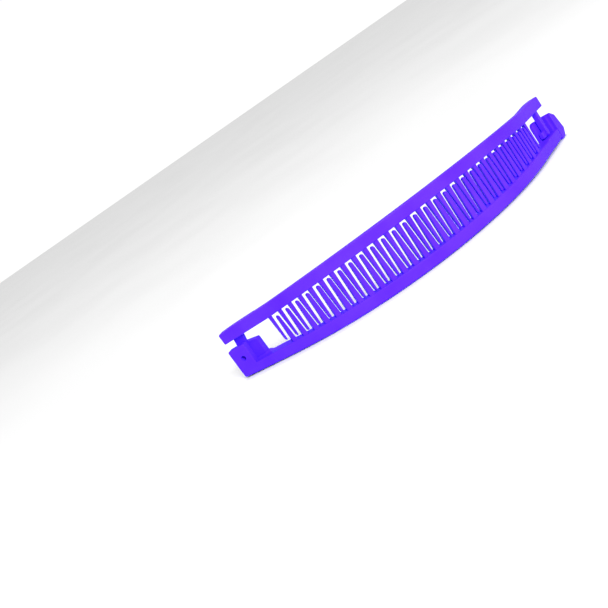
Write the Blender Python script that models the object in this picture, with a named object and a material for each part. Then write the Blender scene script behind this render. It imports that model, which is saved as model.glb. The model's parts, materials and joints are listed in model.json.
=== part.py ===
"""A banana hair clip: two arched combs that mesh their teeth, hinged at one end and hooked at the other."""

import math

import bmesh
import bpy
from mathutils import Matrix, Vector

MM = 0.001

# Driving sizes, in millimetres. A place on the clip is written as (s, y, n): s runs along the arch from its
# top, below zero towards the hinge; y runs across, above zero on the arm that swings; n stands out of the arch.
ARCH_RADIUS = 97.6
ARCH_HALF = 62.3
HALF_WIDTH = 11.5
HALF_WIDTH_LOSS = 2.2
HALF_WIDTH_LOSS_AT = 73.3

TEETH = 28
TOOTH_PITCH = 4.42
TOOTH_SINK = 0.4
TOOTH_THICK_ROOT = 2.2
TOOTH_THICK_TIP = 1.9
TOOTH_TIP_ROUND = 0.6
TIP_CLEAR_FIXED = 0.8
TIP_CLEAR_SWINGING = 0.5
TIP_CLEAR_FIRST = 1.2
TIP_CLEAR_STEP = 0.25
# Sections of a tooth's rounded tip: how far back in tip rounds, and its shares of full width and thickness.
TIP_SECTIONS = ((1.0, 1.0, 1.0), (0.3, 0.72, 0.85), (0.0, 0.3, 0.5))
# A fixed tooth has a slot on its left and one on its right. Where each lies at either rail, in pitches, and
# how wide it is. The left one narrows steadily. The right one is wide on the top of the arch, and the first
# ones by the hinge are a little wider too, so that the teeth pass each other as the clip opens.
SLOT_LEFT_AT_FIXED = -0.04
SLOT_LEFT_AT_SWINGING = 0.05
SLOT_RIGHT_AT_FIXED = 0.62
SLOT_RIGHT_AT_SWINGING = 0.48
GAP_LEFT = 0.92
GAP_LEFT_STEP = -0.0165
GAP_RIGHT_HINGE = 0.39
GAP_RIGHT_FIRST = 0.32
GAP_RIGHT_FIRST_STEP = 0.1
GAP_RIGHT_MIDDLE = 0.72
GAP_RIGHT_CLASP = 0.56
GAP_RIGHT_OPENS = (4.5, 10.5)
GAP_RIGHT_CLOSES = (14.5, 17.0)
# The teeth stand as the mould opens, square to the top of the arch, and the lean this gives fades past them.
LEAN_FADES = (65.0, 80.0)

RAIL_WIDTH = 4.2
RAIL_DEPTH = 3.7
RAIL_END_DEPTH = 4.2
RAIL_END_SWELL = (66.0, 67.0)
RAIL_INNER_AT_BEND = 5.5
RAIL_INNER_AT_END = 5.2
FIXED_SET_BACK = 0.35
FIXED_INNER_DRAFT = 0.35
HINGE_FLARE = 0.55
HINGE_FLARE_S = (-58.0, -80.0)
FIXED_HINGE_FLARE = -0.2
FIXED_HINGE_FLARE_S = (-35.0, -60.0)
CLASP_FLARE = 0.7
FIXED_CLASP_FLARE = 0.3
CLASP_FLARE_S = (66.0, 78.0)
EDGE_TOP = 0.45
EDGE_BOTTOM = 0.8
END_ROUND = 0.5
# Places that need a section of their own: on the fixed rail at either bend, and along the swinging rail.
FIXED_BREAKS = (-66.5, 64.5)
SWINGING_BREAKS = (-67.0, -66.0, 67.0, 70.0, 78.0)
# Where the fixed rail touches the floor when the clip lies on its flank.
RAIL_FOOT_S = -34.0

HINGE_END_SWINGING = -82.2
HINGE_END_FIXED = -83.2
CLASP_END_SWINGING = 82.5
CLASP_END_FIXED = 88.3

BLOCK_DEPTH = 8.4
BLOCK_START = -73.4
BLOCK_FRONT_START = -76.1
BLOCK_SWELL_FROM = -55.0
BLOCK_SWELL_TO = -69.0
BLOCK_SWELL_DEPTH = 5.3
BLOCK_MOUTH = 2.4
BLOCK_EDGE = 0.3
BLOCK_MOUTH_CORNER = 0.6
BACK_JAW_REACH = 1.6
BACK_JAW_STEP = 0.7
SLOT_TOP = 3.0
SLOT_BOTTOM = 5.5
PIN_S = -79.2
PIN_Y = -2.15
PIN_RADIUS = 0.68
PIN_TOP = 2.3
BORE_RADIUS = 0.98
BORE_SIDES = 16
PIN_SIDES = 12
BOSS_SIDES = 20
BORE_BOTTOM = 7.0
CLEARANCE = 0.3
# How far a joined shape keeps off the plane of a face that it would otherwise share.
FLUSH = 0.05
TONGUE_RADIUS = 1.9
TONGUE_ROOT = (-79.9, -75.8)
TONGUE_PAD_WIDTH = 2.6
TONGUE_PAD_INSET = 0.2
TONGUE_PAD_SINK = 0.9
TONGUE_PAD_RISE = 1.0
ROOT_SINK = 0.8
BOSS_KEEP = 0.2
PLATE_SINK = 1.2
PLATE_EDGE = 0.2
THIN_EDGE = 0.15
CUT_ABOVE = 1.0

CLASP_SWELL_FROM = 68.0
CLASP_SWELL_TO = 69.5
BOX_START = 72.9
BOX_RUN_IN = 1.3
BOX_DEPTH = 4.6
BOX_FLOOR = 3.3
BOX_WALL_S = 83.0
RAIL_INTO_WALL = 1.2
WALL_OUT = -9.75
WALL_EDGE = 0.25
BOX_LEDGE_S = 81.1
BOX_LEDGE_TOP = 0.95
BOX_INNER = 5.3
GROOVE = 0.45
HOOK_S = (76.0, 78.1)
HOOK_N = (0.9, 2.8)
HOOK_REACH = -4.6
BARB_S = 72.9
BARB_Y = -2.2
BARB_TOP = 1.6
BARB_CORNER = 0.5

# Outlines of the clasp's plates, as (s, y) corners.
PLATE_ROOT = -RAIL_INNER_AT_END - PLATE_SINK
FLOOR_OUTLINE = ((BOX_START, PLATE_ROOT), (BOX_START, 0.0), (73.4, 1.2), (74.5, 2.1), (75.9, 2.45), (84.0, 1.3),
                 (84.0, PLATE_ROOT))
LEDGE_OUTLINE = ((BOX_LEDGE_S, -6.2), (BOX_LEDGE_S, 1.9), (83.6, 1.5), (83.6, -6.2))
WALL_OUTLINE = ((BOX_WALL_S, WALL_OUT), (BOX_WALL_S, 1.6), (83.9, 1.4), (86.9, -0.6), (88.05, -6.6),
                (CLASP_END_FIXED, -7.3), (85.9, -9.5))
GROOVE_OUTLINE = ((BOX_WALL_S - GROOVE, -9.05), (BOX_WALL_S, -9.05), (BOX_WALL_S, 3.0),
                  (BOX_WALL_S - GROOVE, 3.0))

PURPLE = (0.205, 0.052, 0.95, 1.0)
STEEL = (0.55, 0.56, 0.58, 1.0)
PLASTIC_ROUGHNESS = 0.3
STEEL_ROUGHNESS = 0.35
SHARP_FROM = math.radians(30)


def clear_scene():
    """Removes the startup objects."""
    for obj in list(bpy.data.objects):
        bpy.data.objects.remove(obj)


def bend(s, y, n):
    """The place in the arch's own frame, in metres: an arc with a straight run at each end."""
    along = max(-ARCH_HALF, min(ARCH_HALF, s))
    angle = along / ARCH_RADIUS
    rest = s - along
    x = (ARCH_RADIUS + n) * math.sin(angle) + rest * math.cos(angle)
    z = (ARCH_RADIUS + n) * math.cos(angle) - ARCH_RADIUS - rest * math.sin(angle)
    return Vector((x, y, z)) * MM


def smooth_step(low, high, value):
    """0 on the low side, 1 past high and a smooth rise between them."""
    share = max(0.0, min(1.0, (value - low) / (high - low)))
    return share * share * (3 - 2 * share)


def half_width(s):
    """The clip is widest at the top of its arch."""
    return HALF_WIDTH - HALF_WIDTH_LOSS * (s / HALF_WIDTH_LOSS_AT) ** 2


def outer_edge(side, s):
    """How far a rail's outer edge lies from the middle, with the little that each end flares or draws in."""
    clasp = smooth_step(*CLASP_FLARE_S, s)
    if side < 0:
        return half_width(s) + FIXED_HINGE_FLARE * smooth_step(*FIXED_HINGE_FLARE_S, s) + FIXED_CLASP_FLARE * clasp
    return half_width(s) + HINGE_FLARE * smooth_step(*HINGE_FLARE_S, s) + CLASP_FLARE * clasp


def inner_edge(s):
    """How far a rail's inner edge lies from the middle of the clip."""
    past_bend = abs(s) - ARCH_HALF
    if past_bend <= 0:
        at_bend = half_width(ARCH_HALF) - RAIL_WIDTH
        return half_width(s) - RAIL_WIDTH + (RAIL_INNER_AT_BEND - at_bend) * (s / ARCH_HALF) ** 2
    share = past_bend / (CLASP_END_SWINGING - ARCH_HALF)
    return RAIL_INNER_AT_BEND + (RAIL_INNER_AT_END - RAIL_INNER_AT_BEND) * min(1.0, share)


def depth_a(s):
    """The swinging arm's rail is a little deeper at both ends."""
    swell = smooth_step(*RAIL_END_SWELL, abs(s))
    return RAIL_DEPTH + (RAIL_END_DEPTH - RAIL_DEPTH) * swell


def depth_b(s):
    """The fixed arm's rail deepens slowly, then at once, into the hinge block, and a little at the clasp."""
    if s > 0:
        return RAIL_DEPTH + (BOX_DEPTH - RAIL_DEPTH) * smooth_step(CLASP_SWELL_FROM, CLASP_SWELL_TO, s)
    slow = smooth_step(-BLOCK_SWELL_FROM, -BLOCK_SWELL_TO, -s)
    quick = smooth_step(-BLOCK_SWELL_TO, -BLOCK_START, -s)
    return RAIL_DEPTH + (BLOCK_SWELL_DEPTH - RAIL_DEPTH) * slow + (BLOCK_DEPTH - BLOCK_SWELL_DEPTH) * quick


def fixed_inner_edge(s):
    """The fixed rail's inner edge is set back towards its ends and comes forward again for the box."""
    set_back = inner_edge(s) + FIXED_SET_BACK * min(1.0, abs(s) / ARCH_HALF) ** 2
    return set_back + (BOX_INNER - set_back) * smooth_step(BOX_START - BOX_RUN_IN, BOX_START, s)


def slot_middle(k, right, y):
    """The middle of the slot on the left (or right) of fixed tooth k, at y."""
    reach = inner_edge(0.0)
    share = (y + reach) / (2 * reach)
    here, there = SLOT_LEFT_AT_FIXED, SLOT_LEFT_AT_SWINGING
    if right:
        here, there = SLOT_RIGHT_AT_FIXED, SLOT_RIGHT_AT_SWINGING
    return TOOTH_PITCH * (k - (TEETH + 1) / 2 + here + (there - here) * share)


def slot_gap(k, right):
    """How wide that slot is."""
    if not right:
        return GAP_LEFT + GAP_LEFT_STEP * (k - (TEETH + 1) / 2)
    opened = GAP_RIGHT_HINGE + (GAP_RIGHT_MIDDLE - GAP_RIGHT_HINGE) * smooth_step(*GAP_RIGHT_OPENS, k)
    opened += max(0.0, GAP_RIGHT_FIRST - GAP_RIGHT_FIRST_STEP * (k - 1))
    return opened - (GAP_RIGHT_MIDDLE - GAP_RIGHT_CLASP) * smooth_step(*GAP_RIGHT_CLOSES, k)


def tooth_sides(side, k, y):
    """The two flanks of tooth k of an arm at y. Side is 1 on the swinging arm and -1 on the fixed one."""
    if side > 0:
        return (slot_middle(k - 1, True, y) + slot_gap(k - 1, True) / 2,
                slot_middle(k, False, y) - slot_gap(k, False) / 2)
    return (slot_middle(k, False, y) + slot_gap(k, False) / 2,
            slot_middle(k, True, y) - slot_gap(k, True) / 2)


def tooth_tip(side, k):
    """Where tooth k ends, short of the other rail. The first ones by the hinge are cut shorter."""
    clear = max(TIP_CLEAR_SWINGING if side > 0 else TIP_CLEAR_FIXED, TIP_CLEAR_FIRST - TIP_CLEAR_STEP * (k - 1))
    middle = sum(tooth_sides(side, k, 0.0)) / 2
    return -side * (inner_edge(middle) - clear)


def lean(s, n):
    """How far a place below the strip moves along it, so that the teeth's flanks stand parallel."""
    angle = max(-ARCH_HALF, min(ARCH_HALF, s)) / ARCH_RADIUS
    return -n * math.tan(angle) * (1.0 - smooth_step(*LEAN_FADES, abs(s)))


def rail_ring(side, s, depth, inner, shrink):
    """The eight corners of a rail's section: 1 and 2 are where a tooth's top and bottom meet it."""
    near = inner + shrink
    far = outer_edge(side, s) - shrink
    tooth_bottom = TOOTH_SINK + TOOTH_THICK_ROOT
    draft = FIXED_INNER_DRAFT if side < 0 else 0.0
    corners = [
        (near + TOOTH_SINK, 0.0),
        (near, -TOOTH_SINK),
        (near - draft / 2, -tooth_bottom),
        (near - draft, -depth),
        (far - EDGE_BOTTOM, -depth),
        (far, EDGE_BOTTOM - depth),
        (far, -EDGE_TOP),
        (far - EDGE_TOP, 0.0),
    ]
    ring = [(s, side * y, n) for y, n in corners]
    for j in (1, 2):
        ring[j] = (s + lean(s, ring[j][2]), *ring[j][1:])
    return ring


def tooth_rings(side, k):
    """Sections of tooth k from near its root to its rounded tip, each with four corners."""
    tip = tooth_tip(side, k)
    rings = []
    for back, wide, thick in TIP_SECTIONS:
        y = tip + side * back * TOOTH_TIP_ROUND
        left, right = tooth_sides(side, k, y)
        middle = (left + right) / 2
        half = wide * (right - left) / 2
        sink = (1 - thick) * TOOTH_THICK_TIP / 2
        top = -TOOTH_SINK - sink
        bottom = -TOOTH_SINK - TOOTH_THICK_TIP + sink
        corners = ((middle - half, top), (middle + half, top), (middle + half, bottom), (middle - half, bottom))
        rings.append([(s + lean(s, n), y, n) for s, n in corners])
    return rings


def comb(side, teeth, ends, breaks, depth, inner):
    """A rail with its teeth as one closed mesh. Breaks are further places along it that need a section."""
    root_y = side * inner_edge(0.0)
    roots = [tooth_sides(side, k, root_y) for k in range(1, teeth + 1)]
    first, last = ends
    breaks = [s for s in breaks if not any(left < s < right for left, right in roots)]
    at_roots = [s for root in roots for s in root]
    stations = sorted({first, last, first + END_ROUND, last - END_ROUND, *breaks, *at_roots})
    bm = bmesh.new()
    rings = []
    for s in stations:
        shrink = END_ROUND / 2 if s in ends else 0.0
        rings.append([bm.verts.new(bend(*corner)) for corner in rail_ring(side, s, depth(s), inner(s), shrink)])
    bm.faces.new(rings[0])
    bm.faces.new(rings[-1][::-1])
    lefts = {left: k for k, (left, right) in enumerate(roots, 1)}
    for i, (ring, after) in enumerate(zip(rings, rings[1:])):
        for j in range(len(ring)):
            if not (j == 1 and stations[i] in lefts):
                j_next = (j + 1) % len(ring)
                bm.faces.new((ring[j], ring[j_next], after[j_next], after[j]))
        if stations[i] not in lefts:
            continue
        before = [ring[1], after[1], after[2], ring[2]]
        for corners in tooth_rings(side, lefts[stations[i]]):
            now = [bm.verts.new(bend(*corner)) for corner in corners]
            for j in range(4):
                bm.faces.new((before[j], before[(j + 1) % 4], now[(j + 1) % 4], now[j]))
            before = now
        bm.faces.new(before)
    bmesh.ops.recalc_face_normals(bm, faces=bm.faces)
    return bm


def prism(outline, top, bottom, edge=0.0):
    """A plate with this (s, y) outline between two depths below the arch, with its edges cut back a little."""
    bm = bmesh.new()
    upper = [bm.verts.new(bend(s, y, -top)) for s, y in outline]
    lower = [bm.verts.new(bend(s, y, -bottom)) for s, y in outline]
    bm.faces.new(upper)
    bm.faces.new(lower[::-1])
    for i in range(len(outline)):
        j = (i + 1) % len(outline)
        bm.faces.new((upper[i], lower[i], lower[j], upper[j]))
    bmesh.ops.recalc_face_normals(bm, faces=bm.faces)
    if edge:
        bmesh.ops.bevel(bm, geom=list(bm.edges), offset=edge * MM, segments=1, affect="EDGES", clamp_overlap=True)
    return bm


def circle(radius, sides):
    """Points round the hinge axis."""
    turns = [2 * math.pi * i / sides for i in range(sides)]
    return [(PIN_S + radius * math.cos(turn), PIN_Y + radius * math.sin(turn)) for turn in turns]


def add_object(name, bm, parent, material=None):
    """Makes a mesh object from a bmesh and parents it."""
    mesh = bpy.data.meshes.new(name)
    bm.to_mesh(mesh)
    bm.free()
    obj = bpy.data.objects.new(name, mesh)
    bpy.context.scene.collection.objects.link(obj)
    obj.parent = parent
    if material:
        mesh.materials.append(material)
    return obj


def add_empty(name, parent=None):
    """Makes an empty that other objects hang on."""
    empty = bpy.data.objects.new(name, None)
    bpy.context.scene.collection.objects.link(empty)
    empty.parent = parent
    return empty


def combine(target, name, bm, operation):
    """Joins a helper to the target, or cuts the target with it, and hides the helper."""
    helper = add_object(name, bm, target.parent)
    helper.matrix_parent_inverse = target.matrix_parent_inverse
    helper.hide_render = True
    helper.display_type = "WIRE"
    modifier = target.modifiers.new(name, "BOOLEAN")
    modifier.operation = operation
    modifier.solver = "EXACT"
    modifier.object = helper


def plastic(name, colour, roughness):
    """A plain material."""
    material = bpy.data.materials.new(name)
    material.use_nodes = True
    shader = material.node_tree.nodes["Principled BSDF"]
    shader.inputs["Base Color"].default_value = colour
    shader.inputs["Roughness"].default_value = roughness
    return material


def metal(name, colour, roughness):
    """A plain material that is all metal."""
    material = plastic(name, colour, roughness)
    material.node_tree.nodes["Principled BSDF"].inputs["Metallic"].default_value = 1.0
    return material


def resting_frame():
    """Lays the arch on the flank of its fixed arm, on the rail and both end pieces, centred over zero."""
    rail_foot = bend(RAIL_FOOT_S, -outer_edge(-1, RAIL_FOOT_S), EDGE_BOTTOM - RAIL_DEPTH)
    block_foot = bend(BLOCK_START, -outer_edge(-1, BLOCK_START), EDGE_BOTTOM - BLOCK_DEPTH)
    wall_foot = bend(BOX_WALL_S + WALL_EDGE, WALL_OUT + WALL_EDGE / 8, WALL_EDGE - BOX_DEPTH - FLUSH)
    up = (rail_foot - block_foot).cross(wall_foot - block_foot).normalized()
    along = (Vector((1.0, 0.0, 0.0)) - up * up.x).normalized()
    turn = Matrix((along, up.cross(along), up)).to_4x4()
    hinge_end = turn @ bend(HINGE_END_FIXED, 0.0, 0.0)
    clasp_end = turn @ bend(CLASP_END_FIXED, 0.0, 0.0)
    crown = turn @ bend(0.0, EDGE_TOP - HALF_WIDTH, 0.0)
    heel = turn @ bend(HINGE_END_FIXED, 0.0, BLOCK_EDGE - BLOCK_DEPTH)
    middle = Vector((hinge_end.x + clasp_end.x, crown.y + heel.y, 0.0)) / 2
    middle.z = (turn @ rail_foot).z
    return Matrix.Translation(-middle) @ turn


def make_fixed_arm(root, material):
    """The fixed arm: its comb, the forked hinge block and the open box that the hook drops into."""
    swell = [BLOCK_SWELL_TO, (BLOCK_SWELL_TO + BLOCK_START) / 2, BLOCK_START + FLUSH]
    clasp = [CLASP_SWELL_FROM, CLASP_SWELL_TO, BOX_START - BOX_RUN_IN, BOX_START + FLUSH]
    ends = (HINGE_END_FIXED + FLUSH, BOX_WALL_S + RAIL_INTO_WALL)
    breaks = [*FIXED_BREAKS, *swell, *clasp]
    bm = comb(-1, TEETH, ends, breaks, depth_b, fixed_inner_edge)
    arm = add_object("comb_fixed", bm, root, material)
    deep = PLATE_ROOT
    mouth = BLOCK_MOUTH
    corner = BLOCK_MOUTH_CORNER
    front = [(HINGE_END_FIXED, deep), (BLOCK_FRONT_START, deep), (BLOCK_FRONT_START, mouth - corner),
             (BLOCK_FRONT_START - corner, mouth), (HINGE_END_FIXED + corner, mouth), (HINGE_END_FIXED, mouth - corner)]
    back = [(HINGE_END_FIXED, deep), (BLOCK_START, deep), (BLOCK_START, BACK_JAW_STEP - corner),
            (BLOCK_START - corner, BACK_JAW_STEP), (PIN_S, BACK_JAW_REACH),
            (HINGE_END_FIXED + corner, BACK_JAW_REACH), (HINGE_END_FIXED, BACK_JAW_REACH - corner)]
    combine(arm, "hinge_plate_front", prism(front, FLUSH, SLOT_TOP, BLOCK_EDGE), "UNION")
    combine(arm, "hinge_plate_back", prism(back, SLOT_BOTTOM, BLOCK_DEPTH + FLUSH, BLOCK_EDGE), "UNION")
    combine(arm, "hinge_bore", prism(circle(BORE_RADIUS, BORE_SIDES), -CUT_ABOVE, BORE_BOTTOM), "DIFFERENCE")
    combine(arm, "clasp_floor", prism(FLOOR_OUTLINE, BOX_FLOOR, BOX_DEPTH - FLUSH, PLATE_EDGE), "UNION")
    combine(arm, "clasp_ledge", prism(LEDGE_OUTLINE, BOX_LEDGE_TOP, BOX_DEPTH - 2 * FLUSH, THIN_EDGE), "UNION")
    combine(arm, "clasp_wall", prism(WALL_OUTLINE, -FLUSH, BOX_DEPTH + FLUSH, WALL_EDGE), "UNION")
    combine(arm, "clasp_groove", prism(GROOVE_OUTLINE, -CUT_ABOVE, GROOVE), "DIFFERENCE")
    return arm


def make_swinging_arm(hinge, from_axis, material):
    """The swinging arm: its comb, the tongue that turns on the pin and the hook that drops into the box."""
    ends = (HINGE_END_SWINGING, CLASP_END_SWINGING)
    bm = comb(1, TEETH + 1, ends, SWINGING_BREAKS, depth_a, inner_edge)
    arm = add_object("comb_swinging", bm, hinge, material)
    arm.matrix_parent_inverse = from_axis
    top = SLOT_TOP + CLEARANCE
    bottom = SLOT_BOTTOM - CLEARANCE
    left, right = TONGUE_ROOT
    root_y = RAIL_INNER_AT_END + ROOT_SINK
    boss = [point for point in circle(TONGUE_RADIUS, BOSS_SIDES) if point[1] < PIN_Y + BOSS_KEEP * TONGUE_RADIUS]
    tongue = [(left, root_y), *sorted(boss, key=boss_order), (right, root_y)]
    pad_left = left + TONGUE_PAD_INSET
    pad_right = right - TONGUE_PAD_INSET
    pad_y = root_y - TONGUE_PAD_SINK
    pad_end = pad_y + TONGUE_PAD_WIDTH
    pad = [(pad_left, pad_y), (pad_right, pad_y), (pad_right, pad_end), (pad_left, pad_end)]
    combine(arm, "hinge_tongue", prism(tongue, top, bottom), "UNION")
    combine(arm, "hinge_tongue_pad", prism(pad, top - TONGUE_PAD_RISE, bottom - FLUSH), "UNION")
    combine(arm, "hinge_tongue_bore", prism(circle(BORE_RADIUS, BORE_SIDES), 0.0, BLOCK_DEPTH), "DIFFERENCE")

    near, far = HOOK_S
    barb_end = near + BARB_CORNER
    hook = [(near, root_y), (near, HOOK_REACH), (far, HOOK_REACH), (far, root_y)]
    barb = [(BARB_S, BARB_Y), (BARB_S, HOOK_REACH + BARB_CORNER), (BARB_S + BARB_CORNER, HOOK_REACH),
            (barb_end, HOOK_REACH), (barb_end, BARB_Y)]
    combine(arm, "hook_bar", prism(hook, *HOOK_N, PLATE_EDGE), "UNION")
    combine(arm, "hook_barb", prism(barb, BARB_TOP, HOOK_N[1] + 2 * FLUSH, THIN_EDGE), "UNION")
    return arm


def boss_order(point):
    """Sorts the boss's points by their turn round the pin, from the hinge end over the far side."""
    return math.atan2(point[1] - PIN_Y, point[0] - PIN_S) % (2 * math.pi)


def main():
    """Builds the clip."""
    clear_scene()
    purple = plastic("purple_plastic", PURPLE, PLASTIC_ROUGHNESS)
    root = add_empty("banana_clip")
    root.matrix_world = resting_frame()
    pivot = bend(PIN_S, PIN_Y, -(SLOT_TOP + SLOT_BOTTOM) / 2)
    outward = bend(PIN_S, PIN_Y, 0.0) - pivot
    on_axis = Matrix.Translation(pivot) @ outward.to_track_quat("Z", "Y").to_matrix().to_4x4()
    hinge = add_empty("hinge_axis", root)
    hinge.matrix_local = on_axis
    make_fixed_arm(root, purple)
    make_swinging_arm(hinge, on_axis.inverted(), purple)
    pin = prism(circle(PIN_RADIUS, PIN_SIDES), PIN_TOP, BORE_BOTTOM - CLEARANCE)
    add_object("hinge_pin", pin, root, metal("pin_steel", STEEL, STEEL_ROUGHNESS))
    for obj in bpy.data.objects:
        if obj.type == "MESH":
            obj.data.shade_smooth()
            obj.data.set_sharp_from_angle(angle=SHARP_FROM)


main()
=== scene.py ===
# %% [markdown]
# A banana clip gathers long hair at the back of the head. It is two long combs, bent to the same arch, that
# lie side by side with their teeth between each other. They turn on a pin at one end and hook together at the
# other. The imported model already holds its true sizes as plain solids, so this lesson keeps every size and
# makes the surfaces as moulded plastic has them: rounded edges, rounded tooth tips, a soft shine and a faint
# grain.

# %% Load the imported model
import json
import math

import bmesh
import bpy
from mathutils import Euler, Matrix, Vector

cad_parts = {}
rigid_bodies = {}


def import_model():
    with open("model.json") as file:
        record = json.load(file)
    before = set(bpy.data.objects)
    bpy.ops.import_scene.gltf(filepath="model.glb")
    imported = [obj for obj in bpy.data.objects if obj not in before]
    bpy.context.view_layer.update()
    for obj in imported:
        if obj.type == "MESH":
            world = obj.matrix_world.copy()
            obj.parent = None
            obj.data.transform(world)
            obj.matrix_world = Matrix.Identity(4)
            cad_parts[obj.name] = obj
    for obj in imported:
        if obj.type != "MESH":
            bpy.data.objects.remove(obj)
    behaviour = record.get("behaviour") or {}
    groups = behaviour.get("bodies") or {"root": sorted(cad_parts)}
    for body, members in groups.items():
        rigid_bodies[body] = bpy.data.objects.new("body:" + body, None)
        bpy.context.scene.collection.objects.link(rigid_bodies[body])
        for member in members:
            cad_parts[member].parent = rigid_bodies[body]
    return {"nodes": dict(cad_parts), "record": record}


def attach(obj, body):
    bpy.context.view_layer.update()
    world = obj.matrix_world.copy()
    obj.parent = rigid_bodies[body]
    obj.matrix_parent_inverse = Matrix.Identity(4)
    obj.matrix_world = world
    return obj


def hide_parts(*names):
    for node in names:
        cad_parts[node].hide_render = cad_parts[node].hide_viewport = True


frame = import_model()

scene = bpy.context.scene
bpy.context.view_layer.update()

# %% [markdown]
# Every place on the clip is easiest to say on the flat strip that the arch is bent from. A place is three
# millimetre numbers: s runs along the strip from the top of the arch, below zero towards the hinge; y runs
# across, above zero on the arm that swings; n stands out of the rounded side. One rule then bends the strip.

# %% Sizes of the strip and its arch
MM = 0.001
ARCH_RADIUS = 97.6
ARCH_HALF = 62.3
HALF_WIDTH = 11.5
HALF_WIDTH_LOSS = 2.2
HALF_WIDTH_LOSS_AT = 73.3
RAIL_WIDTH = 4.2
RAIL_DEPTH = 3.7
HINGE_END_FIXED = -83.2
HINGE_END_SWINGING = -82.2
CLASP_END_FIXED = 88.3
CLASP_END_SWINGING = 82.5
BLOCK_DEPTH = 8.4
BLOCK_START = -73.4
RAIL_FOOT_S = -34.0
BLOCK_DRAW = 0.2
BOX_DEPTH = 4.6
BOX_WALL_S = 83.0
WALL_OUT = -9.75
WALL_EDGE = 0.25
EDGE_TOP = 0.45
EDGE_BOTTOM = 0.8


def bend(s, y, n):
    """The place in the arch's own frame, in metres: an arc with a straight run at each end."""
    along = max(-ARCH_HALF, min(ARCH_HALF, s))
    angle = along / ARCH_RADIUS
    rest = s - along
    x = (ARCH_RADIUS + n) * math.sin(angle) + rest * math.cos(angle)
    z = (ARCH_RADIUS + n) * math.cos(angle) - ARCH_RADIUS - rest * math.sin(angle)
    return Vector((x, y, z)) * MM


def half_width(s):
    """The clip is widest at the top of its arch."""
    return HALF_WIDTH - HALF_WIDTH_LOSS * (s / HALF_WIDTH_LOSS_AT) ** 2


# %% [markdown]
# By itself the clip lies on the flank of its fixed arm, because its two ends are too narrow to stand on. It
# touches the floor with its rail, part of the way from the top of the arch to the hinge, and with both end
# pieces, so those three feet give the plane.

# %% The frame that the arch lies in
def resting_frame():
    """Takes a place from the arch's own frame to the floor, on its three feet and centred over zero."""
    rail_foot = bend(RAIL_FOOT_S, -half_width(RAIL_FOOT_S), EDGE_BOTTOM - RAIL_DEPTH)
    block_foot = bend(BLOCK_START, BLOCK_DRAW - half_width(BLOCK_START), EDGE_BOTTOM - BLOCK_DEPTH)
    wall_foot = bend(BOX_WALL_S + WALL_EDGE, WALL_OUT + WALL_EDGE / 8, WALL_EDGE - BOX_DEPTH - FLUSH)
    up = (rail_foot - block_foot).cross(wall_foot - block_foot).normalized()
    along = (Vector((1.0, 0.0, 0.0)) - up * up.x).normalized()
    turn = Matrix((along, up.cross(along), up)).to_4x4()
    hinge_end = turn @ bend(HINGE_END_FIXED, 0.0, 0.0)
    clasp_end = turn @ bend(CLASP_END_FIXED, 0.0, 0.0)
    crown = turn @ bend(0.0, EDGE_TOP - HALF_WIDTH, 0.0)
    heel = turn @ bend(HINGE_END_FIXED, 0.0, BLOCK_EDGE - BLOCK_DEPTH)
    middle = Vector((hinge_end.x + clasp_end.x, crown.y + heel.y, 0.0)) / 2
    middle.z = (turn @ rail_foot).z
    return Matrix.Translation(-middle) @ turn


FLUSH = 0.05
BLOCK_EDGE = 0.3
LYING = resting_frame()
PIN_S = -79.2
PIN_Y = -2.15
SLOT_TOP = 3.0
SLOT_BOTTOM = 5.5
pivot = LYING @ bend(PIN_S, PIN_Y, -(SLOT_TOP + SLOT_BOTTOM) / 2)
told = frame["record"]["behaviour"]["joints"][0]["pos_m"]
print("pin here", [round(v, 5) for v in pivot], "and in the record", told)

# %% [markdown]
# The camera looks at the rounded side from above the hinge end, at the photograph's own angle. Its place and
# turn were solved for the arch's own frame, so the same frame that lays the arch down also places the camera.

# %% Camera
CAMERA_PLACE = Vector((-94.55, 51.25, 277.72)) * MM
CAMERA_TURN = Euler([math.radians(angle) for angle in (-1.968, -13.103, -36.237)])
SENSOR_MM = 36.0
FOCAL_PIXELS = 896.9
PICTURE_PIXELS = 608

camera_data = bpy.data.cameras.new("camera")
camera_data.sensor_width = SENSOR_MM
camera_data.lens = FOCAL_PIXELS / PICTURE_PIXELS * SENSOR_MM
camera_data.clip_start = 0.01
camera = bpy.data.objects.new("camera", camera_data)
scene.collection.objects.link(camera)
camera.matrix_world = LYING @ Matrix.Translation(CAMERA_PLACE) @ CAMERA_TURN.to_matrix().to_4x4()
scene.camera = camera
print("camera at", [round(v, 3) for v in camera.matrix_world.translation])

# %% [markdown]
# Node trees are easier to read as sums than as boxes and wires. A small class wraps one socket, so that an
# ordinary Python expression on it adds the Math nodes, and one method adds any other node.

# %% A socket that can be added and multiplied
class Sum:
    """A number, colour or shape that comes out of a node."""

    def __init__(self, wiring, socket):
        self.wiring = wiring
        self.socket = socket

    def maths(self, operation, *values):
        """Adds one Math node."""
        inputs = dict(enumerate(values))
        return self.wiring.add("ShaderNodeMath", inputs, operation=operation)

    def __add__(self, other):
        return self.maths("ADD", self, other)

    def __sub__(self, other):
        return self.maths("SUBTRACT", self, other)

    def __rsub__(self, other):
        return self.maths("SUBTRACT", other, self)

    def __mul__(self, other):
        return self.maths("MULTIPLY", self, other)

    def __truediv__(self, other):
        return self.maths("DIVIDE", self, other)

    def __neg__(self):
        return self * -1.0

    __radd__ = __add__
    __rmul__ = __mul__

    def out(self, name):
        """Another output of the same node."""
        return Sum(self.wiring, self.socket.node.outputs[name])


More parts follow.
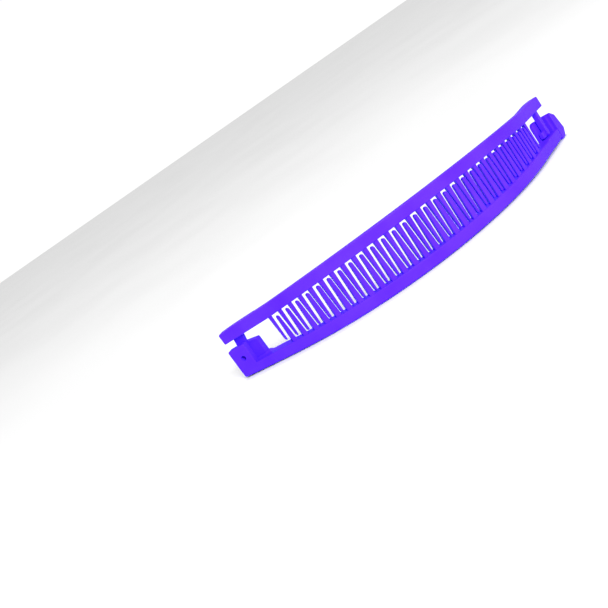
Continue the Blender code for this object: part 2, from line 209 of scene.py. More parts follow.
class Wiring:
    """A node tree that is filled by calls."""

    def __init__(self, tree):
        self.tree = tree

    def add(self, kind, inputs=None, output=0, **settings):
        """Adds a node: its settings first, then the values or links of its sockets."""
        node = self.tree.nodes.new(kind)
        for name, value in settings.items():
            setattr(node, name, value)
        for key, value in (inputs or {}).items():
            if isinstance(value, Sum):
                self.tree.links.new(value.socket, node.inputs[key])
            else:
                node.inputs[key].default_value = value
        return Sum(self, node.outputs[output]) if node.outputs else None

    def smooth(self, low, high, value, start=0.0, end=1.0):
        """Rises smoothly from start to end as value goes from low to high."""
        sockets = {"Value": value, "From Min": low, "From Max": high, "To Min": start, "To Max": end}
        return self.add("ShaderNodeMapRange", sockets, interpolation_type="SMOOTHSTEP")


def geometry_tree(name, sizes):
    """An empty Geometry Nodes tree with these named sizes. Gives the wiring and what comes in."""
    tree = bpy.data.node_groups.new(name, "GeometryNodeTree")
    tree.interface.new_socket("Geometry", in_out="OUTPUT", socket_type="NodeSocketGeometry")
    tree.interface.new_socket("Geometry", in_out="INPUT", socket_type="NodeSocketGeometry")
    for size, value in sizes.items():
        socket = tree.interface.new_socket(size, in_out="INPUT", socket_type="NodeSocketFloat")
        socket.default_value = value
    wiring = Wiring(tree)
    return wiring, wiring.add("NodeGroupInput")


def finish_tree(wiring, geometry, material):
    """Ends a tree in real mesh with its material on it."""
    real = wiring.add("GeometryNodeRealizeInstances", {0: geometry})
    made = wiring.add("GeometryNodeSetMaterial", {"Geometry": real, "Material": material})
    wiring.add("NodeGroupOutput", {0: made})
    return wiring.tree


def run_tree(obj, tree, sizes=None):
    """Puts a tree on an object as a modifier, with its sizes set by their sockets' identifiers."""
    modifier = obj.modifiers.new(tree.name, "NODES")
    modifier.node_group = tree
    for item in tree.interface.items_tree:
        if item.in_out == "INPUT" and item.name in (sizes or {}):
            modifier[item.identifier] = float(sizes[item.name])


# %% [markdown]
# The clip is one moulded plastic, a strong violet blue. Real moulded parts are never one flat colour: the
# pigment is a little uneven, the gloss changes where the plastic flowed, and the skin has a very fine grain.
# Slow noise tints the colour, a second one moves the roughness, and two fine ones make the bumps. The picture
# to match is evenly lit and has few highlights, so the specular level is set low.

# %% Violet plastic
DEEP_VIOLET = (0.065, 0.012, 0.76, 1.0)
PALE_VIOLET = (0.077, 0.018, 0.84, 1.0)
PLASTIC_ROUGHNESS = (0.30, 0.36)
PLASTIC_IOR = 1.49
PLASTIC_SPECULAR = 0.03
GRAIN_STRENGTH = 0.25
GRAIN_DEPTH = 0.00004


def new_material(name):
    """A material with an empty tree apart from its shader. Gives the material, the wiring and the shader."""
    material = bpy.data.materials.new(name)
    material.use_nodes = True
    wiring = Wiring(material.node_tree)
    return material, wiring, material.node_tree.nodes["Principled BSDF"]


def noise(wiring, place, scale, detail=2.0):
    """Noise around 0.5 on the piece's own coordinates."""
    return wiring.add("ShaderNodeTexNoise", {"Vector": place, "Scale": scale, "Detail": detail}, output="Fac")


def violet_plastic():
    """Moulded plastic with uneven pigment, uneven gloss and a fine grain."""
    material, wiring, shader = new_material("violet_plastic")
    place = wiring.add("ShaderNodeTexCoord", output="Object")
    pigment = wiring.smooth(0.3, 0.7, noise(wiring, place, 60.0, 3.0))
    shades = {0: pigment, 6: DEEP_VIOLET, 7: PALE_VIOLET}
    colour = wiring.add("ShaderNodeMix", shades, output=2, data_type="RGBA")
    gloss = wiring.smooth(0.2, 0.8, noise(wiring, place, 180.0), *PLASTIC_ROUGHNESS)
    grain = noise(wiring, place, 1400.0, 1.0) + noise(wiring, place, 260.0, 1.0) * 2.0
    bumps = {"Strength": GRAIN_STRENGTH, "Distance": GRAIN_DEPTH, "Height": grain}
    skin = wiring.add("ShaderNodeBump", bumps)
    tree = material.node_tree
    tree.links.new(colour.socket, shader.inputs["Base Color"])
    tree.links.new(gloss.socket, shader.inputs["Roughness"])
    tree.links.new(skin.socket, shader.inputs["Normal"])
    shader.inputs["IOR"].default_value = PLASTIC_IOR
    shader.inputs["Specular IOR Level"].default_value = PLASTIC_SPECULAR
    return material


plastic = violet_plastic()

# %% [markdown]
# The pin is a short piece of drawn steel wire. Drawing leaves it with a satin shine that is never quite even.

# %% Drawn steel
DULL_STEEL = (0.50, 0.51, 0.53, 1.0)
PALE_STEEL = (0.62, 0.62, 0.63, 1.0)
STEEL_ROUGHNESS = (0.28, 0.42)


def drawn_steel():
    """Satin steel wire with a slight unevenness in its shine."""
    material, wiring, shader = new_material("drawn_steel")
    place = wiring.add("ShaderNodeTexCoord", output="Object")
    dull = wiring.smooth(0.3, 0.7, noise(wiring, place, 2500.0), *STEEL_ROUGHNESS)
    shades = {0: dull, 6: DULL_STEEL, 7: PALE_STEEL}
    tint = wiring.add("ShaderNodeMix", shades, output=2, data_type="RGBA")
    material.node_tree.links.new(tint.socket, shader.inputs["Base Color"])
    material.node_tree.links.new(dull.socket, shader.inputs["Roughness"])
    shader.inputs["Metallic"].default_value = 1.0
    return material


steel = drawn_steel()

# %% [markdown]
# Geometry Nodes do the bending. The tree reads each point of the flat strip, works out the place on the arch
# and moves the point there, so rails, teeth and end pieces are all made flat and come out bent alike.

# %% The tree that bends the strip
def bending_tree(material):
    """Bends a flat piece to the arch and turns its millimetres into metres."""
    wiring, given = geometry_tree("bend_to_arch", {"Arch radius": ARCH_RADIUS, "Arch half": ARCH_HALF})
    radius = given.out("Arch radius")
    half = given.out("Arch half")
    flat = wiring.add("ShaderNodeSeparateXYZ", {0: wiring.add("GeometryNodeInputPosition")})
    s, y, n = flat.out("X"), flat.out("Y"), flat.out("Z")
    along = s.maths("MAXIMUM", s, -half)
    along = along.maths("MINIMUM", along, half)
    angle = along / radius
    rest = s - along
    sine, cosine = angle.maths("SINE", angle), angle.maths("COSINE", angle)
    x = (radius + n) * sine + rest * cosine
    z = (radius + n) * cosine - radius - rest * sine
    bent = wiring.add("ShaderNodeCombineXYZ", {"X": x * MM, "Y": y * MM, "Z": z * MM})
    moved = wiring.add("GeometryNodeSetPosition", {"Geometry": given.out("Geometry"), "Position": bent})
    return finish_tree(wiring, moved, material)


bend_tree = bending_tree(plastic)
print("bending tree", len(bend_tree.nodes), "nodes")

# %% [markdown]
# A piece is finished the same way each time. Its tree is run, the result becomes a plain mesh, the lying
# frame puts it in its place, and weighted normals keep the broad faces flat beside their rounded edges.

# %% Turning a bent piece into a plain mesh
CREASE = math.radians(38)
WELD = 0.0000005


def settle(obj, body, stands_for):
    """Makes the object a plain mesh in its place, and fixes it to its body."""
    run_tree(obj, bend_tree)
    graph = bpy.context.evaluated_depsgraph_get()
    mesh = bpy.data.meshes.new_from_object(obj.evaluated_get(graph))
    obj.modifiers.clear()
    obj.data = mesh
    mesh.transform(LYING)
    bm = bmesh.new()
    bm.from_mesh(mesh)
    bmesh.ops.remove_doubles(bm, verts=bm.verts, dist=WELD)
    bmesh.ops.recalc_face_normals(bm, faces=bm.faces)
    bm.to_mesh(mesh)
    bm.free()
    mesh.shade_smooth()
    mesh.set_sharp_from_angle(angle=CREASE)
    soften = obj.modifiers.new("weighted", "WEIGHTED_NORMAL")
    soften.keep_sharp = True
    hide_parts(stands_for)
    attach(obj, body)
    triangles = sum(len(face.vertices) - 2 for face in mesh.polygons)
    print(obj.name, triangles, "triangles")
    return obj


def new_object(name, mesh=None):
    """Links a new mesh object to the scene."""
    obj = bpy.data.objects.new(name, mesh or bpy.data.meshes.new(name))
    scene.collection.objects.link(obj)
    return obj


# %% [markdown]
# A rail follows a rule: the same rounded section runs from end to end, while its outer edge draws in towards
# the ends, its inner edge leaves room for the teeth, and its depth swells where the end pieces grow from it.
# So a tree sweeps the section along a line, and one sum moves each point. The stations crowd towards the two
# ends, where the rounding needs them.

# %% The rail's section
SECTION_STEPS = 5
INNER_EDGE = 0.35


def rounded(corners, steps=SECTION_STEPS):
    """A closed outline with each corner (a, b, radius) turned into an arc."""
    points = []
    for i, (a, b, radius) in enumerate(corners):
        corner = Vector((a, b))
        before = (Vector(corners[i - 1][:2]) - corner).normalized()
        after = (Vector(corners[(i + 1) % len(corners)][:2]) - corner).normalized()
        if radius <= 0:
            points.append(corner)
            continue
        half_turn = before.angle(after) / 2
        centre = corner + (before + after).normalized() * (radius / math.sin(half_turn))
        first = corner + before * (radius / math.tan(half_turn)) - centre
        last = corner + after * (radius / math.tan(half_turn)) - centre
        turn = first.angle_signed(last)
        for step in range(steps + 1):
            angle = -turn * step / steps
            cosine, sine = math.cos(angle), math.sin(angle)
            around = Vector((first.x * cosine - first.y * sine, first.x * sine + first.y * cosine))
            points.append(centre + around)
    return points


def outline_object(name, points):
    """A closed wire that a tree can sweep."""
    mesh = bpy.data.meshes.new(name)
    count = len(points)
    mesh.from_pydata([(a, b, 0.0) for a, b in points], [(i, (i + 1) % count) for i in range(count)], [])
    wire = new_object(name, mesh)
    wire.hide_render = True
    return wire


inner_zero = HALF_WIDTH - RAIL_WIDTH
section = rounded([
    (inner_zero, 0.0, INNER_EDGE),
    (inner_zero, -RAIL_DEPTH, INNER_EDGE),
    (HALF_WIDTH, -RAIL_DEPTH, EDGE_BOTTOM),
    (HALF_WIDTH, 0.0, EDGE_TOP),
])
print("rail section", len(section), "points")

# %% The tree that draws a rail
RAIL_INNER_AT_BEND = 5.5
RAIL_INNER_AT_END = 5.2
RAIL_STATIONS = 240
CLASP_FLARE_S = (66.0, 78.0)
BOX_RUN_IN = 1.3
END_ROUND = 0.4


def inner_sum(wiring, s, set_back=0.0):
    """The inner edge of a rail at s, as a sum. The set-back grows towards the ends."""
    reach = s.maths("ABSOLUTE", s)
    arched = reach.maths("MINIMUM", reach, ARCH_HALF)
    share = arched * arched / ARCH_HALF ** 2
    at_bend = half_width(ARCH_HALF) - RAIL_WIDTH
    width = HALF_WIDTH - RAIL_WIDTH - share * (HALF_WIDTH_LOSS * (ARCH_HALF / HALF_WIDTH_LOSS_AT) ** 2)
    past = (reach - arched) / (CLASP_END_SWINGING - ARCH_HALF)
    past = past.maths("MINIMUM", past, 1.0)
    bent = share * (set_back + RAIL_INNER_AT_BEND - at_bend)
    return width + bent + past * (RAIL_INNER_AT_END - RAIL_INNER_AT_BEND)


def rail_tree(outline):
    """Sweeps the section from end to end on the flat strip and moves each point by the rule."""
    sizes = {
        "Side": 1.0, "Hinge end": HINGE_END_SWINGING, "Clasp end": CLASP_END_SWINGING,
        "Slow swell from": 0.0, "Slow swell to": 0.0, "Slow swell depth": 0.0,
        "Block swell from": 0.0, "Block swell to": 0.0, "Block swell depth": 0.0,
        "Clasp swell from": 0.0, "Clasp swell to": 0.0, "Clasp swell depth": 0.0,
        "Box start": 0.0, "Box inner": 0.0,
        "Hinge flare from": -35.0, "Hinge flare to": -60.0, "Hinge flare": 0.0, "Clasp flare": 0.0,
        "Inner draft": 0.0, "Inner set-back": 0.0,
    }
    wiring, given = geometry_tree("rail", sizes)
    line = wiring.add("GeometryNodeCurvePrimitiveLine", {"Start": (0.0, 0.0, 0.0), "End": (1.0, 0.0, 0.0)})
    line = wiring.add("GeometryNodeResampleCurve", {"Curve": line, "Count": RAIL_STATIONS})
    wire = wiring.add("GeometryNodeObjectInfo", {"Object": outline}, output="Geometry")
    wire = wiring.add("GeometryNodeMeshToCurve", {"Mesh": wire})
    swept = wiring.add("GeometryNodeCurveToMesh", {"Curve": line, "Profile Curve": wire, "Fill Caps": True})
    at = wiring.add("ShaderNodeSeparateXYZ", {0: wiring.add("GeometryNodeInputPosition")})
    share, across, out = at.out("X"), -at.out("Y"), -at.out("Z")
    first, last = given.out("Hinge end"), given.out("Clasp end")
    turn = share * math.pi
    s = (first + last) * 0.5 - (last - first) * 0.5 * turn.maths("COSINE", turn)

    depth = RAIL_DEPTH
    for swell in ("Slow swell", "Block swell", "Clasp swell"):
        extra = given.out(swell + " depth")
        depth = depth + wiring.smooth(given.out(swell + " from"), given.out(swell + " to"), s) * extra
    inner = inner_sum(wiring, s, given.out("Inner set-back"))
    box = wiring.smooth(given.out("Box start") - BOX_RUN_IN, given.out("Box start"), s)
    inner = inner + (given.out("Box inner") - inner) * box
    outer = HALF_WIDTH - s * s * (HALF_WIDTH_LOSS / HALF_WIDTH_LOSS_AT ** 2)
    hinge_share = wiring.smooth(given.out("Hinge flare from"), given.out("Hinge flare to"), s)
    outer = outer + hinge_share * given.out("Hinge flare")
    outer = outer + wiring.smooth(*CLASP_FLARE_S, s) * given.out("Clasp flare")

    from_end = (last - s).maths("MINIMUM", last - s, s - first)
    short = (END_ROUND - from_end).maths("MAXIMUM", END_ROUND - from_end, 0.0)
    inset = END_ROUND - (END_ROUND ** 2 - short * short).maths("SQRT", END_ROUND ** 2 - short * short)
    is_outer = across.maths("GREATER_THAN", across, HALF_WIDTH - RAIL_WIDTH / 2)
    is_low = out.maths("LESS_THAN", out, -RAIL_DEPTH / 2)
    y = across + is_outer * (outer - HALF_WIDTH - inset) + (1.0 - is_outer) * (inner - inner_zero + inset)
    y = y - (1.0 - is_outer) * is_low * given.out("Inner draft")
    n = out - is_low * (depth - RAIL_DEPTH - inset) - (1.0 - is_low) * inset
    place = wiring.add("ShaderNodeCombineXYZ", {"X": s, "Y": y * given.out("Side"), "Z": n})
    drawn = wiring.add("GeometryNodeSetPosition", {"Geometry": swept, "Position": place})
    return finish_tree(wiring, drawn, plastic)


draw_rail = rail_tree(outline_object("rail_section", section))
print("rail tree", len(draw_rail.nodes), "nodes")

# %% [markdown]
# The end pieces are flat plates in the strip: the two jaws of the hinge, the tongue between them, the floor,
# ledge and end wall of the box that the hook drops into, and the hook. A plate is an outline with rounded
# corners, given two depths and a bevel. Boolean modifiers join the plates to their rail while all is still
# flat, as the mould would, and drill the bore for the pin.

# %% Plates and how they join
PLATE_SEGMENTS = 3


def plate(name, corners, top, bottom, edge):
    """A closed plate between two depths, with rounded outline and edges."""
    bm = bmesh.new()
    points = rounded(corners)
    upper = [bm.verts.new((a, b, -top)) for a, b in points]
    lower = [bm.verts.new((a, b, -bottom)) for a, b in points]
    rims = [bm.faces.new(upper), bm.faces.new(lower[::-1])]
    for i in range(len(points)):
        j = (i + 1) % len(points)
        bm.faces.new((upper[i], lower[i], lower[j], upper[j]))
    bmesh.ops.recalc_face_normals(bm, faces=bm.faces)
    if edge:
        rim_edges = [e for face in rims for e in face.edges]
        bmesh.ops.bevel(bm, geom=rim_edges, offset=edge, segments=PLATE_SEGMENTS, profile=0.5, affect="EDGES",
                        clamp_overlap=True)
    mesh = bpy.data.meshes.new(name)
    bm.to_mesh(mesh)
    bm.free()
    helper = new_object(name, mesh)
    helper.hide_render = True
    return helper


def combine(obj, helper, operation):
    """Joins a helper to the object, or cuts it away."""
    modifier = obj.modifiers.new(helper.name, "BOOLEAN")
    modifier.operation = operation
    modifier.solver = "EXACT"
    modifier.object = helper


def round_hole(name, radius, top, bottom):
    """A cutter on the hinge's axis."""
    sides = 40
    turns = [2 * math.pi * i / sides for i in range(sides)]
    ring = [(PIN_S + radius * math.cos(turn), PIN_Y + radius * math.sin(turn), 0.0) for turn in turns]
    return plate(name, ring, top, bottom, 0.0)


# %% The hinge's jaws and the clasp's box, on the fixed arm
BLOCK_FRONT_START = -76.1
BLOCK_MOUTH = 2.4
BORE_RADIUS = 0.98
BORE_BOTTOM = 7.0
BOX_START = 72.9
BOX_FLOOR = 3.3
BOX_LEDGE_S = 81.1
BOX_LEDGE_TOP = 0.95
BOX_INNER = 5.3
GROOVE = 0.45
INSIDE = -RAIL_INNER_AT_END - 1.2
RAIL_INTO_WALL = 1.2
CUT_ABOVE = 1.0
JAW_EDGE = 0.25
FLOOR_EDGE = 0.2
LEDGE_EDGE = 0.15
# Outlines in the strip, as corners (s, y, radius).
FRONT_JAW = [(HINGE_END_FIXED, INSIDE, 0.0), (BLOCK_FRONT_START, INSIDE, 0.0),
             (BLOCK_FRONT_START, BLOCK_MOUTH, 0.7), (HINGE_END_FIXED, BLOCK_MOUTH, 0.6)]
BACK_JAW = [(HINGE_END_FIXED, INSIDE, 0.0), (BLOCK_START, INSIDE, 0.0), (BLOCK_START, 0.7, 0.6),
            (PIN_S, 1.6, 0.5), (HINGE_END_FIXED, 1.6, 0.5)]
BOX_BOTTOM = [(BOX_START, INSIDE, 0.0), (BOX_START, 2.45, 1.9), (BOX_START + 3.0, 2.45, 0.6),
              (84.0, 1.3, 0.3), (84.0, INSIDE, 0.0)]
BOX_LEDGE = [(BOX_LEDGE_S, INSIDE, 0.0), (BOX_LEDGE_S, 1.9, 0.3), (BOX_WALL_S + 0.6, 1.5, 0.2),
             (BOX_WALL_S + 0.6, INSIDE, 0.0)]
BOX_WALL = [(BOX_WALL_S, WALL_OUT, 0.1), (BOX_WALL_S, 1.6, 0.3), (BOX_WALL_S + 0.9, 1.4, 0.5),
            (86.9, -0.6, 0.5), (CLASP_END_FIXED, -6.9, 0.5), (85.9, -9.5, 0.5)]
BOX_GROOVE = [(BOX_WALL_S - GROOVE, -8.8, 0.0), (BOX_WALL_S, -8.8, 0.0), (BOX_WALL_S, 3.0, 0.0),
              (BOX_WALL_S - GROOVE, 3.0, 0.0)]


def fixed_plates(arm):
    """Adds every plate of the fixed arm."""
    combine(arm, plate("front_jaw", FRONT_JAW, 0.0, SLOT_TOP, JAW_EDGE), "UNION")
    combine(arm, plate("back_jaw", BACK_JAW, SLOT_BOTTOM, BLOCK_DEPTH, JAW_EDGE), "UNION")
    combine(arm, round_hole("bore", BORE_RADIUS, -CUT_ABOVE, BORE_BOTTOM), "DIFFERENCE")
    combine(arm, plate("box_floor", BOX_BOTTOM, BOX_FLOOR, BOX_DEPTH, FLOOR_EDGE), "UNION")
    combine(arm, plate("box_ledge", BOX_LEDGE, BOX_LEDGE_TOP, BOX_DEPTH - FLUSH, LEDGE_EDGE), "UNION")
    combine(arm, plate("box_wall", BOX_WALL, 0.0, BOX_DEPTH + FLUSH, WALL_EDGE), "UNION")
    combine(arm, plate("box_groove", BOX_GROOVE, -CUT_ABOVE, GROOVE, 0.0), "DIFFERENCE")


arm_fixed = new_object("arm_fixed")
run_tree(arm_fixed, draw_rail, {
    "Side": -1.0, "Hinge end": HINGE_END_FIXED, "Clasp end": BOX_WALL_S + RAIL_INTO_WALL,
    "Slow swell from": -55.0, "Slow swell to": -69.0, "Slow swell depth": 1.6,
    "Block swell from": -69.0, "Block swell to": BLOCK_START, "Block swell depth": 3.1,
    "Clasp swell from": 68.0, "Clasp swell to": 69.5, "Clasp swell depth": BOX_DEPTH - RAIL_DEPTH,
    "Box start": BOX_START, "Box inner": BOX_INNER, "Inner draft": 0.35, "Inner set-back": 0.35,
    "Hinge flare": -BLOCK_DRAW, "Clasp flare": 0.3,
})
fixed_plates(arm_fixed)
settle(arm_fixed, "root", "comb_fixed")

# %% The tongue and the hook, on the swinging arm
CLEARANCE = 0.3
TONGUE_RADIUS = 1.9
BOSS_DEGREES = (168, 373, 12)
TONGUE_ROOT = (-79.9, -75.8)
TONGUE_PAD_WIDTH = 2.6
HOOK_S = (76.0, 78.1)
HOOK_N = (0.9, 2.8)
HOOK_REACH = -4.6
BARB_S = 72.9
BARB_Y = -2.2
BARB_TOP = 1.6


def swinging_plates(arm):
    """Adds every plate of the swinging arm."""
    top = SLOT_TOP + CLEARANCE
    bottom = SLOT_BOTTOM - CLEARANCE
    left, right = TONGUE_ROOT
    root = RAIL_INNER_AT_END + 0.8
    boss = []
    for angle in range(*BOSS_DEGREES):
        turn = math.radians(angle)
        boss.append((PIN_S + TONGUE_RADIUS * math.cos(turn), PIN_Y + TONGUE_RADIUS * math.sin(turn), 0.0))
    tongue = [(left, root, 0.0), *boss, (right, root, 0.0)]
    pad_y = root - 0.9
    pad = [(left + 0.2, pad_y, 0.2), (right - 0.2, pad_y, 0.2), (right - 0.2, pad_y + TONGUE_PAD_WIDTH, 0.0),
           (left + 0.2, pad_y + TONGUE_PAD_WIDTH, 0.0)]
    combine(arm, plate("tongue", tongue, top, bottom, 0.1), "UNION")
    combine(arm, plate("tongue_pad", pad, top - 1.0, bottom - FLUSH, 0.1), "UNION")
    combine(arm, round_hole("tongue_bore", BORE_RADIUS, 0.0, BLOCK_DEPTH), "DIFFERENCE")
    hook = [(HOOK_S[0], root, 0.0), (HOOK_S[0], HOOK_REACH, 0.4), (HOOK_S[1], HOOK_REACH, 0.4),
            (HOOK_S[1], root, 0.0)]
    barb = [(BARB_S, BARB_Y, 0.3), (BARB_S, HOOK_REACH, 0.4), (HOOK_S[0] + 0.5, HOOK_REACH, 0.0),
            (HOOK_S[0] + 0.5, BARB_Y, 0.0)]
    combine(arm, plate("hook", hook, *HOOK_N, 0.2), "UNION")
    combine(arm, plate("barb", barb, BARB_TOP, HOOK_N[1] + 0.1, 0.15), "UNION")


arm_swinging = new_object("arm_swinging")
run_tree(arm_swinging, draw_rail, {
    "Side": 1.0, "Hinge end": HINGE_END_SWINGING, "Clasp end": CLASP_END_SWINGING,
    "Slow swell from": -66.0, "Slow swell to": -67.0, "Slow swell depth": 0.5,
    "Block swell from": -90.0, "Block swell to": -91.0, "Block swell depth": 0.0,
    "Clasp swell from": 66.0, "Clasp swell to": 67.0, "Clasp swell depth": 0.5,
    "Box start": 95.0, "Box inner": BOX_INNER,
    "Hinge flare from": -58.0, "Hinge flare to": -80.0, "Hinge flare": 0.55, "Clasp flare": 0.7,
})
swinging_plates(arm_swinging)
settle(arm_swinging, "swinging_arm", "comb_swinging")

# %% [markdown]
# The teeth repeat, so Geometry Nodes make them: a row of points, one small rod on each, and one sum that
# gives every rod its flanks, length and round tip. The fixed arm has 28 teeth and the swinging arm one more.
# The slots between them lean a little. Those on the left of the fixed teeth narrow steadily towards the
# clasp, and those on the right are widest on the top of the arch. The first teeth by the hinge stop further
# from the other rail, and the slots on their right are a little wider than the next ones, so that the teeth
# pass each other as the clip opens.

# %% The tree that grows a row of teeth
TEETH = 28
TOOTH_PITCH = 4.42
GAP_LEFT = 0.92
GAP_LEFT_STEP = -0.0165
GAP_RIGHT_HINGE = 0.39
GAP_RIGHT_FIRST = 0.32
GAP_RIGHT_FIRST_STEP = 0.1
GAP_RIGHT_MIDDLE = 0.72
GAP_RIGHT_CLASP = 0.56
GAP_RIGHT_OPENS = (4.5, 10.5)
GAP_RIGHT_CLOSES = (14.5, 17.0)
TOOTH_SINK = 0.4
TOOTH_THICK_ROOT = 2.2
TOOTH_THICK_TIP = 1.9
TOOTH_TIP_ROUND = 0.6
TIP_CLEAR_FIXED = 0.8
TIP_CLEAR_SWINGING = 0.5
TIP_CLEAR_FIRST = 1.2
TIP_CLEAR_STEP = 0.25
TOOTH_ROOT_INSIDE = 0.5
SLOT_LEFT_AT_FIXED = -0.04
SLOT_LEFT_AT_SWINGING = 0.05
SLOT_RIGHT_AT_FIXED = 0.62
SLOT_RIGHT_AT_SWINGING = 0.48
ROD_STATIONS = 16


def slot_sum(k, right, y):
    """The middle of the slot on the left (or right) of fixed tooth k, at y, as a sum."""
    share = (y + inner_zero) / (2 * inner_zero)
    here, there = SLOT_LEFT_AT_FIXED, SLOT_LEFT_AT_SWINGING
    if right:
        here, there = SLOT_RIGHT_AT_FIXED, SLOT_RIGHT_AT_SWINGING
    return (k - (TEETH + 1) / 2 + here + share * (there - here)) * TOOTH_PITCH


def gap_sum(wiring, k, right):
    """How wide that slot is, as a sum."""
    if not right:
        return (k - (TEETH + 1) / 2) * GAP_LEFT_STEP + GAP_LEFT
    first = GAP_RIGHT_FIRST - (k - 1.0) * GAP_RIGHT_FIRST_STEP
    opened = first.maths("MAXIMUM", first, 0.0)
    opened = opened + wiring.smooth(*GAP_RIGHT_OPENS, k, GAP_RIGHT_HINGE, GAP_RIGHT_MIDDLE)
    return opened - wiring.smooth(*GAP_RIGHT_CLOSES, k, 0.0, GAP_RIGHT_MIDDLE - GAP_RIGHT_CLASP)


def flanks(wiring, side, k, y):
    """Both flanks of tooth k at y, as sums."""
    left = slot_sum(k, False, y)
    left_gap = gap_sum(wiring, k, False) * 0.5
    if side > 0:
        return slot_sum(k - 1.0, True, y) + gap_sum(wiring, k - 1.0, True) * 0.5, left - left_gap
    return left + left_gap, slot_sum(k, True, y) - gap_sum(wiring, k, True) * 0.5


def teeth_tree(side, outline):
    """A row of teeth on the flat strip for the arm on this side."""
    wiring, given = geometry_tree("teeth_swinging" if side > 0 else "teeth_fixed", {
        "Count": TEETH + (1 if side > 0 else 0),
        "Thickness at root": TOOTH_THICK_ROOT, "Thickness at tip": TOOTH_THICK_TIP,
        "Tip round": TOOTH_TIP_ROUND, "Tip clearance": TIP_CLEAR_SWINGING if side > 0 else TIP_CLEAR_FIXED,
    })
    rod = wiring.add("GeometryNodeCurvePrimitiveLine", {"Start": (0.0, 0.0, 0.0), "End": (1.0, 0.0, 0.0)})
    rod = wiring.add("GeometryNodeResampleCurve", {"Curve": rod, "Count": ROD_STATIONS})
    wire = wiring.add("GeometryNodeObjectInfo", {"Object": outline}, output="Geometry")
    wire = wiring.add("GeometryNodeMeshToCurve", {"Mesh": wire})
    rod = wiring.add("GeometryNodeCurveToMesh", {"Curve": rod, "Profile Curve": wire, "Fill Caps": True})
    local = wiring.add("GeometryNodeInputPosition")
    rod = wiring.add("GeometryNodeStoreNamedAttribute", {"Geometry": rod, "Name": "rod", "Value": local},
                     data_type="FLOAT_VECTOR", domain="POINT")
    points = wiring.add("GeometryNodePoints", {"Count": given.out("Count")})
    row = wiring.add("GeometryNodeInstanceOnPoints", {"Points": points, "Instance": rod})
    index = wiring.add("GeometryNodeInputIndex")
    numbered = {"Geometry": row, "Name": "tooth", "Value": index + 1.0}
    row = wiring.add("GeometryNodeStoreNamedAttribute", numbered, data_type="FLOAT", domain="INSTANCE")
    row = wiring.add("GeometryNodeRealizeInstances", {0: row})

    k = wiring.add("GeometryNodeInputNamedAttribute", {"Name": "tooth"}, data_type="FLOAT")
    rod_place = wiring.add("GeometryNodeInputNamedAttribute", {"Name": "rod"}, data_type="FLOAT_VECTOR")
    at = wiring.add("ShaderNodeSeparateXYZ", {0: rod_place})
    quarter = at.out("X") * (math.pi / 2)
    v = quarter.maths("SINE", quarter)
    u, w = at.out("Y") * (-side), -at.out("Z")

    left, right = flanks(wiring, side, k, 0.0)
    inner = inner_sum(wiring, (left + right) * 0.5)
    early = TIP_CLEAR_FIRST - (k - 1.0) * TIP_CLEAR_STEP
    reach = inner - early.maths("MAXIMUM", early, given.out("Tip clearance"))
    length = inner + TOOTH_ROOT_INSIDE + reach
    y = (inner + TOOTH_ROOT_INSIDE - v * length) * side
    left, right = flanks(wiring, side, k, y)

    tip_round = given.out("Tip round")
    short = tip_round - (1.0 - v) * length
    short = short.maths("MAXIMUM", short, 0.0) / tip_round
    full = 1.0 - short * short
    full = full.maths("SQRT", full.maths("MAXIMUM", full, 0.0))
    wide = full * 0.96 + 0.04
    thick = full * 0.5 + 0.5
    at_root, at_tip = given.out("Thickness at root"), given.out("Thickness at tip")
    thickness = at_root + (at_tip - at_root) * v
    s = (left + right) * 0.5 + u * wide * (right - left) * 0.5
    n = (w * thick - 1.0) * 0.5 * thickness - TOOTH_SINK
    slope = s / ARCH_RADIUS
    upright = s - n * slope.maths("TANGENT", slope)
    place = wiring.add("ShaderNodeCombineXYZ", {"X": upright, "Y": y, "Z": n})
    grown = wiring.add("GeometryNodeSetPosition", {"Geometry": row, "Position": place})
    return finish_tree(wiring, grown, plastic)


rod_section = rounded([(-1, -1, 0.3), (1, -1, 0.3), (1, 1, 0.3), (-1, 1, 0.3)], 3)
rod_outline = outline_object("rod_section", rod_section)
for side, body, node, name in ((-1, "root", "comb_fixed", "teeth_fixed"),
                               (1, "swinging_arm", "comb_swinging", "teeth_swinging")):
    row = new_object(name)
    run_tree(row, teeth_tree(side, rod_outline))
    settle(row, body, node)

# %% [markdown]
# The pin ends in a slight dome inside its bore, as cut and tumbled wire does. Its profile is turned round the
# axis, which is a short way to a round piece.

# %% Pin
PIN_RADIUS = 0.68
PIN_TOP = 2.3
PIN_SIDES = 40


def turned_pin():
    """The domed pin, turned round its own axis on the flat strip."""
    bottom = BORE_BOTTOM - CLEARANCE
    profile = [(0.0, -PIN_TOP), (0.35, -PIN_TOP - 0.03), (0.55, -PIN_TOP - 0.12), (0.65, -PIN_TOP - 0.25),
               (PIN_RADIUS, -PIN_TOP - 0.4), (PIN_RADIUS, -bottom + 0.3), (0.6, -bottom + 0.1),
               (0.45, -bottom), (0.0, -bottom)]
    bm = bmesh.new()
    line = [bm.verts.new((PIN_S + radius, PIN_Y, n)) for radius, n in profile]
    edges = [bm.edges.new(pair) for pair in zip(line, line[1:])]
    bmesh.ops.spin(bm, geom=line + edges, cent=(PIN_S, PIN_Y, 0.0), axis=(0.0, 0.0, 1.0), angle=2 * math.pi,
                   steps=PIN_SIDES, use_merge=True)
    bmesh.ops.remove_doubles(bm, verts=bm.verts, dist=0.0001)
    bmesh.ops.recalc_face_normals(bm, faces=bm.faces)
    mesh = bpy.data.meshes.new("pin_turned")
    bm.to_mesh(mesh)
    bm.free()
    return mesh


pin = new_object("pin_turned", turned_pin())
settle(pin, "root", "hinge_pin")
pin.data.materials.clear()
pin.data.materials.append(steel)

# %% [markdown]
# The helpers have done their work. Only finished pieces stay in the scene.

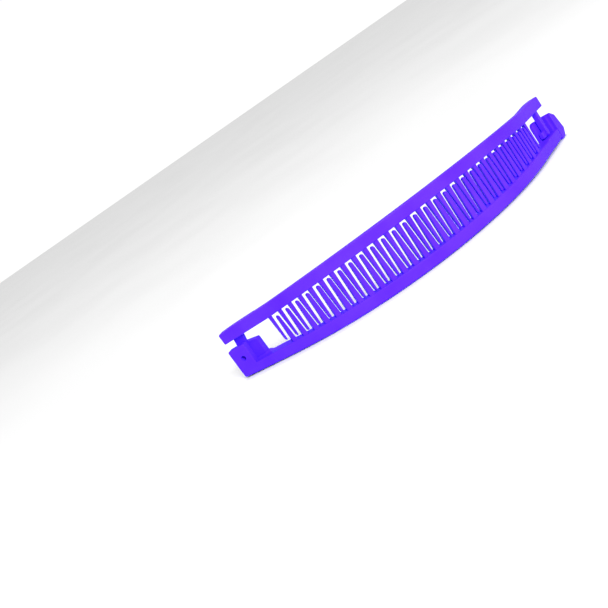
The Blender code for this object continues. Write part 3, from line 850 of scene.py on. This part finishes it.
# %% Clear the helpers away
for obj in list(bpy.data.objects):
    if obj.type == "MESH" and obj.hide_render and obj.name not in frame["nodes"]:
        bpy.data.objects.remove(obj)

# %% [markdown]
# A product picture like this one is bright and nearly without shadow. The room's own light fills the shade,
# one large soft lamp stands before the rounded side, and broad daylight falls from above. The camera sees the
# room brighter than it shines, so the room itself is white. The table is a pale grey that only just reaches
# white round the clip, because a brighter one would bleed over the clip's edges and widen its slots. The price
# is that the table turns light grey further from the lamp, and its far edge shows against the white room.

# %% Floor, room and lamps
TABLE_GREY = (0.58, 0.58, 0.58, 1.0)
FLOOR_SIZE = 6.0
ROOM_LIGHT = 0.35
ROOM_SEEN = 1.02


def pale_floor():
    """A wide pale table top with a very slight unevenness in its shine."""
    bpy.ops.mesh.primitive_plane_add(size=FLOOR_SIZE, location=(0.0, 0.0, 0.0))
    floor = bpy.context.active_object
    floor.name = "floor"
    material, wiring, shader = new_material("white_table")
    place = wiring.add("ShaderNodeTexCoord", output="Object")
    dull = wiring.smooth(0.3, 0.7, noise(wiring, place, 8.0), 0.55, 0.65)
    material.node_tree.links.new(dull.socket, shader.inputs["Roughness"])
    shader.inputs["Base Color"].default_value = TABLE_GREY
    floor.data.materials.append(material)
    return floor


def soft_lamp(name, place, aim, size, power):
    """A square soft lamp that looks at a point."""
    data = bpy.data.lights.new(name, "AREA")
    data.shape = "SQUARE"
    data.size = size
    data.energy = power
    lamp = bpy.data.objects.new(name, data)
    scene.collection.objects.link(lamp)
    turn = (Vector(aim) - Vector(place)).to_track_quat("-Z", "Y").to_matrix().to_4x4()
    lamp.matrix_world = Matrix.Translation(place) @ turn
    return lamp


pale_floor()
soft_lamp("lamp_front", (0.05, -0.8, 0.5), (0.0, 0.0, 0.01), 0.5, 17.0)
daylight = bpy.data.lights.new("daylight", "SUN")
daylight.energy = 3.0
daylight.angle = math.radians(25)
sun = bpy.data.objects.new("daylight", daylight)
scene.collection.objects.link(sun)
sun.rotation_euler = (math.radians(-8), math.radians(5), 0.0)
world = bpy.data.worlds.new("white_room")
scene.world = world
world.use_nodes = True
room = Wiring(world.node_tree)
seen = room.add("ShaderNodeLightPath", output="Is Camera Ray")
strength = seen * (ROOM_SEEN - ROOM_LIGHT) + ROOM_LIGHT
background = world.node_tree.nodes["Background"]
background.inputs["Color"].default_value = (1.0, 1.0, 1.0, 1.0)
world.node_tree.links.new(strength.socket, background.inputs["Strength"])
scene.view_settings.view_transform = "Standard"
scene.view_settings.look = "None"
